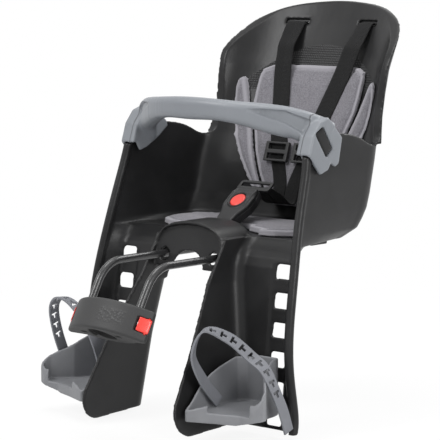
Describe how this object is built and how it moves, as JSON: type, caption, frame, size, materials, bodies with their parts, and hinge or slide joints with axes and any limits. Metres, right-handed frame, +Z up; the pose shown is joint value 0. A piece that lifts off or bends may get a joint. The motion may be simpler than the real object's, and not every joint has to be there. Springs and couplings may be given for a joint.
{
  "type": "child bike seat",
  "caption": "Front-mounted child bike seat: moulded bucket with pads, harness, safety bar, footrests and a bar that drops into a head-tube clamp.",
  "frame": {"origin": "centre of the head-tube clamp's bore", "axes": "+Z up, the child faces -Y, +X is the viewer's right from the front"},
  "size_m": [0.386, 0.4944, 0.5305],
  "materials": {
    "shell_plastic": "fine-grained black moulding",
    "pad_fabric": "heather grey cloth over foam",
    "bar_plastic": "smooth grey moulding",
    "webbing": "black woven webbing",
    "buckle_plastic": "black moulding",
    "red_plastic": "red moulding",
    "bar_steel": "black powder coat",
    "bright_steel": "zinc plated",
    "spring_steel": "plain wire",
    "block_plastic": "grained black moulding",
    "liner_rubber": "black rubber",
    "footrest_plastic": "grey moulding",
    "strap_rubber": "soft grey strap"
  },
  "bodies": {
    "mount_block": {"block_front": "block_plastic", "block_rear": "block_plastic", "liner_front": "liner_rubber", "liner_rear": "liner_rubber", "block_bolts": "bright_steel", "block_nuts": "bright_steel", "button_spring_left": "spring_steel", "button_spring_right": "spring_steel"},
    "seat": {"seat_shell": "shell_plastic", "back_pad": "pad_fabric", "side_pad_left": "pad_fabric", "side_pad_right": "pad_fabric", "seat_pad": "pad_fabric", "safety_bar": "bar_plastic", "crotch_strap": "webbing", "buckle_body": "buckle_plastic", "buckle_cover": "buckle_plastic", "buckle_spring": "spring_steel", "buckle_tongue": "buckle_plastic", "support_bar": "bar_steel", "bar_clamp_plate": "bar_steel", "bar_clamp_screws": "bright_steel", "shoulder_strap_left": "webbing", "shoulder_strap_right": "webbing", "strap_stop_left": "buckle_plastic", "strap_stop_right": "buckle_plastic", "strap_adjuster_left": "buckle_plastic", "strap_adjuster_right": "buckle_plastic"},
    "buckle_press": {"buckle_button": "red_plastic"},
    "footrest_left": {"footrest_left": "footrest_plastic", "foot_strap_left": "strap_rubber"},
    "footrest_right": {"footrest_right": "footrest_plastic", "foot_strap_right": "strap_rubber"},
    "release_left": {"release_button_left": "red_plastic"},
    "release_right": {"release_button_right": "red_plastic"}
  },
  "joints": [
    {"name": "seat_lift", "type": "slide", "parent": "mount_block", "child": "seat", "axis": [0, 0.5, 0.866], "range_m": [0, 0.08]},
    {"name": "buckle_press", "type": "slide", "parent": "seat", "child": "buckle_press", "axis": [0, 0.6115, -0.7912], "range_m": [0, 0.003], "stiffness_N_per_m": 900, "deforming": ["buckle_spring"]},
    {"name": "footrest_left", "type": "slide", "parent": "seat", "child": "footrest_left", "axis": [0, 0.1387, 0.9903], "range_m": [0, 0.0728]},
    {"name": "footrest_right", "type": "slide", "parent": "seat", "child": "footrest_right", "axis": [0, 0.1387, 0.9903], "range_m": [0, 0.0728]},
    {"name": "release_left", "type": "slide", "parent": "mount_block", "child": "release_left", "axis": [1, 0, 0], "range_m": [0, 0.003], "stiffness_N_per_m": 600, "deforming": ["button_spring_left"]},
    {"name": "release_right", "type": "slide", "parent": "mount_block", "child": "release_right", "axis": [-1, 0, 0], "range_m": [0, 0.003], "stiffness_N_per_m": 600, "deforming": ["button_spring_right"]}
  ]
}
